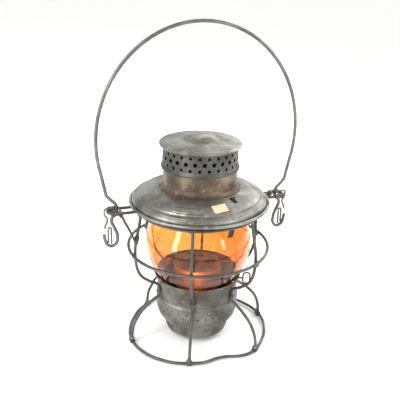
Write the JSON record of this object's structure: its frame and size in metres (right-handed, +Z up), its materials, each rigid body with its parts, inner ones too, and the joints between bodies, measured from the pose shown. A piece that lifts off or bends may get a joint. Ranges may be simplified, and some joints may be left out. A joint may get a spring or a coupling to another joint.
{
  "type": "railroad hand lantern",
  "caption": "Oil hand lantern: wire guard cage, amber short globe, hinged hood with perforated chimney, burner cup with wick raiser, and a swinging wire bail.",
  "frame": {"origin": "bottom centre: on the lantern's axis at the lowest point of the foot wraps on the base ring", "axes": "+Z up the lantern's axis, +X through the right-hand bail ear, +Y to the back where the hood is hinged"},
  "size_m": [0.2378, 0.1714, 0.3755],
  "materials": {
    "wire": "weathered tinned steel wire",
    "dark_steel": "dark tarnished steel",
    "galvanised_sheet": "dull weathered galvanised sheet",
    "brown_sheet": "brown tarnished sheet",
    "amber_glass": "clear amber pressed glass",
    "burner_brass": "sooted brown brass",
    "wick_cotton": "charred woven cotton"
  },
  "bodies": {
    "guard_frame": {"base_ring": "wire", "foot_wraps": "dark_steel", "guard_ring": "wire", "crown_ring": "wire", "cup_wire_clips": "dark_steel", "guard_wire_1": "wire", "guard_wire_2": "wire", "guard_wire_3": "wire", "guard_wire_4": "wire", "guard_wire_5": "wire", "guard_wire_6": "wire", "globe_cup": "galvanised_sheet", "draft_band": "galvanised_sheet", "cup_well": "galvanised_sheet", "globe_seat": "galvanised_sheet", "globe": "amber_glass", "frame_hinge_leaf": "galvanised_sheet", "hinge_pin": "dark_steel", "ear_loop_left": "wire", "ear_plate_left": "brown_sheet", "ear_brace_left": "brown_sheet", "brace_ferrule_left": "dark_steel", "bail_keeper_left": "wire", "ear_loop_right": "wire", "ear_plate_right": "brown_sheet", "ear_brace_right": "brown_sheet", "brace_ferrule_right": "dark_steel", "bail_keeper_right": "wire", "fount": "galvanised_sheet", "filler_cap": "burner_brass", "wick_tube": "burner_brass", "burner_base": "burner_brass", "burner_gallery": "burner_brass", "burner_deck": "burner_brass", "spindle_bushing": "dark_steel"},
    "bail": {"bail": "wire", "bail_tongue_left": "wire", "bail_tongue_right": "wire"},
    "hood": {"hood_brim": "galvanised_sheet", "brim_edge_wire": "wire", "chimney_collar": "brown_sheet", "vent_band": "galvanised_sheet", "cap": "galvanised_sheet", "smoke_flue": "galvanised_sheet", "globe_clips": "galvanised_sheet", "hood_hinge_leaf": "galvanised_sheet"},
    "latch": {"hood_latch": "galvanised_sheet"},
    "wick_knob": {"wick_knob_loop": "dark_steel", "wick_spindle": "dark_steel", "spur_wheels": "burner_brass"},
    "wick": {"wick": "wick_cotton"}
  },
  "joints": [
    {"name": "bail_swing", "type": "hinge", "parent": "guard_frame", "child": "bail", "pos_m": [0, 0, 0.1704], "axis": [1, 0, 0], "range_deg": [-45, 45]},
    {"name": "hood_hinge", "type": "hinge", "parent": "guard_frame", "child": "hood", "pos_m": [0, 0.0845, 0.1685], "axis": [-1, 0, 0], "range_deg": [0, 75]},
    {"name": "latch_press", "type": "hinge", "parent": "hood", "child": "latch", "pos_m": [0.01626, -0.0652, 0.178], "axis": [-0.9703, -0.2419, 0], "range_deg": [0, 7], "stiffness_Nm_per_rad": 0.4},
    {"name": "wick_knob_turn", "type": "hinge", "parent": "guard_frame", "child": "wick_knob", "pos_m": [0.0567, -0.01963, 0.0716], "axis": [-0.9449, 0.3272, 0], "range_deg": [-92.5, 121.5]},
    {"name": "wick_raise", "type": "slide", "parent": "guard_frame", "child": "wick", "axis": [0, 0, 1], "range_m": [-0.0057, 0.0075]}
  ],
  "couplings": [
    {"joint": "wick_knob_turn", "follows": "wick_raise", "rad_per_m": 281.69}
  ]
}
